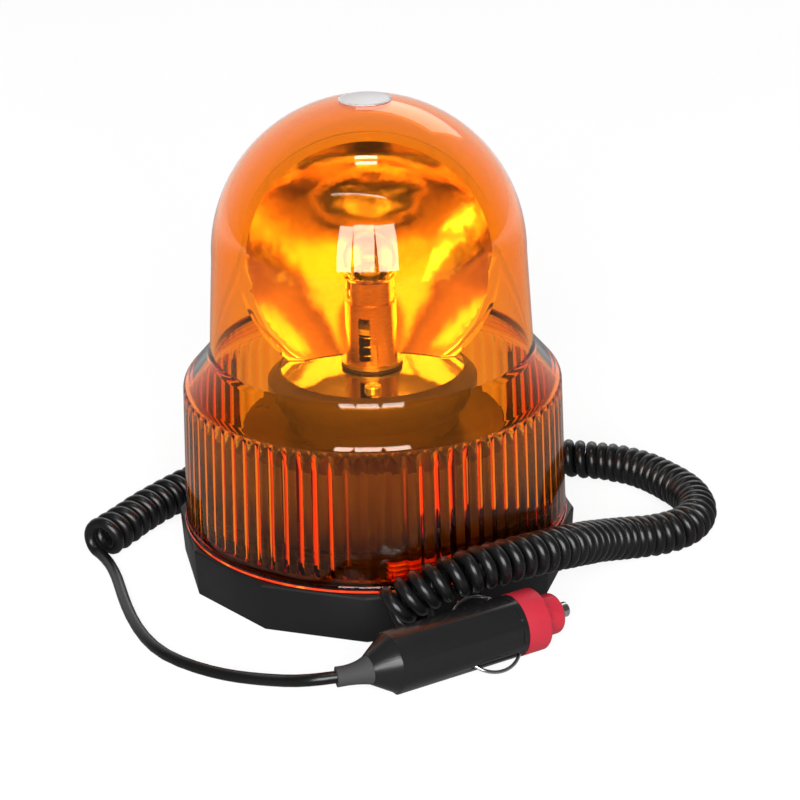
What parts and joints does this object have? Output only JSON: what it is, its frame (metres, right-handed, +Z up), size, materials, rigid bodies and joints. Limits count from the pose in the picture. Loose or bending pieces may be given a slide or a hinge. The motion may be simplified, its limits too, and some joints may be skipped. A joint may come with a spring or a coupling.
{
  "type": "rotating warning beacon",
  "caption": "Rotating warning beacon: magnetic twelve-sided base, amber fluted lens with a dome, turning bowl reflector round a bayonet lamp, geared motor, curly cord with a vehicle power plug.",
  "frame": {"origin": "centre of the magnetic foot, on the surface the beacon stands on", "axes": "+Z up along the lamp axis, -Y the front, where the cord leaves a little to +X of the middle"},
  "size_m": [0.2347, 0.2063, 0.1717],
  "materials": {
    "black_plastic": "satin moulded",
    "amber_lens": "clear amber moulding",
    "sticker": "bare label disc",
    "bright_metal": "bright vacuum plated",
    "steel": "zinc plated",
    "ferrite": "ground ferrite",
    "rubber": "matte",
    "cord": "satin sheath",
    "brass": "turned",
    "clear_glass": "clear",
    "red_plastic": "glossy red",
    "white_plastic": "natural acetal",
    "dark_bush": "oiled bearing plastic"
  },
  "bodies": {
    "base": {"base_housing": "black_plastic", "cable_gland": "rubber", "magnet_pad": "rubber", "pole_cup": "steel", "ring_magnet": "ferrite", "magnet_screw": "steel", "lens_seal": "rubber", "chassis": "black_plastic", "chassis_screws": "steel", "lamp_post": "brass", "spring_seat": "brass", "lamp_socket": "brass", "thrust_washer": "white_plastic", "retaining_ring": "steel", "motor_can": "steel", "motor_bearings": "brass", "motor_end_cap": "black_plastic", "motor_terminals": "brass", "motor_magnets": "ferrite", "motor_screws": "steel", "inner_wires": "rubber", "cord_lead": "cord", "cord_curl": "cord", "cord_tail": "cord", "plug_body": "black_plastic", "plug_cap": "red_plastic", "plug_fuse_glass": "clear_glass", "plug_fuse_caps": "bright_metal", "plug_fuse_seat": "black_plastic", "plug_relief": "rubber"},
    "lens": {"lens_cover": "amber_lens", "lens_sticker": "sticker"},
    "reflector_table": {"turntable": "black_plastic", "turntable_bush": "dark_bush", "reflector": "bright_metal", "reflector_screws": "steel"},
    "motor_spindle": {"motor_shaft": "steel", "motor_rotor": "steel", "motor_pinion": "white_plastic"},
    "bulb": {"bulb_cap": "bright_metal", "bulb_contact": "brass", "bulb_glass": "clear_glass", "bulb_filament": "steel"},
    "lamp_contact": {"contact_disc": "white_plastic", "contact_plunger": "brass", "contact_spring": "steel"},
    "plug_tip_pin": {"plug_tip": "bright_metal", "plug_tip_spring": "steel"},
    "low_bow": {"plug_contact_low": "bright_metal"},
    "high_bow": {"plug_contact_high": "bright_metal"}
  },
  "joints": [
    {"name": "lens_lift", "type": "slide", "parent": "base", "child": "lens", "axis": [0, 0, 1], "range_m": [0, 0.15]},
    {"name": "reflector_spin", "type": "hinge", "parent": "base", "child": "reflector_table", "pos_m": [0, 0, 0.06], "axis": [0, 0, 1], "continuous": true},
    {"name": "motor_spin", "type": "hinge", "parent": "base", "child": "motor_spindle", "pos_m": [0, 0.0245, 0.05], "axis": [0, 0, 1], "continuous": true},
    {"name": "bulb_press", "type": "slide", "parent": "base", "child": "bulb", "axis": [0, 0, -1], "range_m": [0, 0.0018], "stiffness_N_per_m": 600, "springref_m": -0.002},
    {"name": "contact_press", "type": "slide", "parent": "base", "child": "lamp_contact", "axis": [0, 0, -1], "range_m": [0, 0.0018], "deforming": ["contact_spring"]},
    {"name": "tip_press", "type": "slide", "parent": "base", "child": "plug_tip_pin", "axis": [-0.8712, -0.4909, 0], "range_m": [0, 0.003], "stiffness_N_per_m": 800, "springref_m": -0.002},
    {"name": "low_bow_press", "type": "slide", "parent": "base", "child": "low_bow", "axis": [-0.3761, 0.6674, 0.6428], "range_m": [0, 0.0025], "stiffness_N_per_m": 600, "springref_m": -0.0005},
    {"name": "high_bow_press", "type": "slide", "parent": "base", "child": "high_bow", "axis": [0.3761, -0.6674, -0.6428], "range_m": [0, 0.0025], "stiffness_N_per_m": 600, "springref_m": -0.0005}
  ],
  "couplings": [
    {"joint": "motor_spin", "follows": "reflector_spin", "ratio": 8},
    {"joint": "contact_press", "follows": "bulb_press", "ratio": 1}
  ]
}
